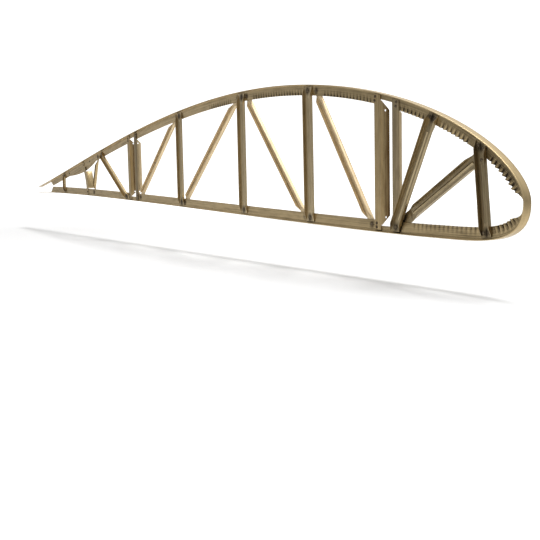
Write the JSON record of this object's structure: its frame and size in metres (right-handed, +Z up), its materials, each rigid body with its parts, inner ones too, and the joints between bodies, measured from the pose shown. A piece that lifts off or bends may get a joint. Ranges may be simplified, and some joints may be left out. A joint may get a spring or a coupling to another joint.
{
  "type": "aircraft wing rib",
  "caption": "Built-up truss wing rib: a crimped T-section cap strip bent round the nose, riveted to pressed channel members and to angles that clasp the front and rear spars.",
  "frame": {"origin": "on the face of the front spar's tail angle that bears on the aft side of the spar, in the middle plane of the cap's web", "axes": "+X to the nose, +Y across the rib to the side of the angles' plates, +Z up"},
  "size_m": [1.6001, 0.0185, 0.1964],
  "materials": {
    "cap": "satin rolled sheet with a bronze-gold anodised colour",
    "channel": "satin rolled sheet with a bronze-gold anodised colour",
    "angle": "satin rolled sheet with a bronze-gold anodised colour",
    "rivet": "dull aluminium rivets"
  },
  "bodies": {
    "root": {"cap_strip": "cap", "nose_strut": "channel", "nose_diagonal": "channel", "spar_brace": "channel", "front_spar_nose_angle": "angle", "front_spar_tail_angle": "angle", "first_diagonal": "channel", "first_upright": "channel", "second_diagonal": "channel", "second_upright": "channel", "third_diagonal": "channel", "third_upright": "channel", "fourth_diagonal": "channel", "rear_spar_nose_angle": "angle", "rear_spar_tail_angle": "angle", "tail_diagonal": "channel", "cove_strut": "channel", "cove_angle": "angle", "tail_upright_channel": "channel", "tail_gusset": "channel", "front_rivets": "rivet", "back_rivets": "rivet", "angle_rivets": "rivet"}
  },
  "joints": []
}
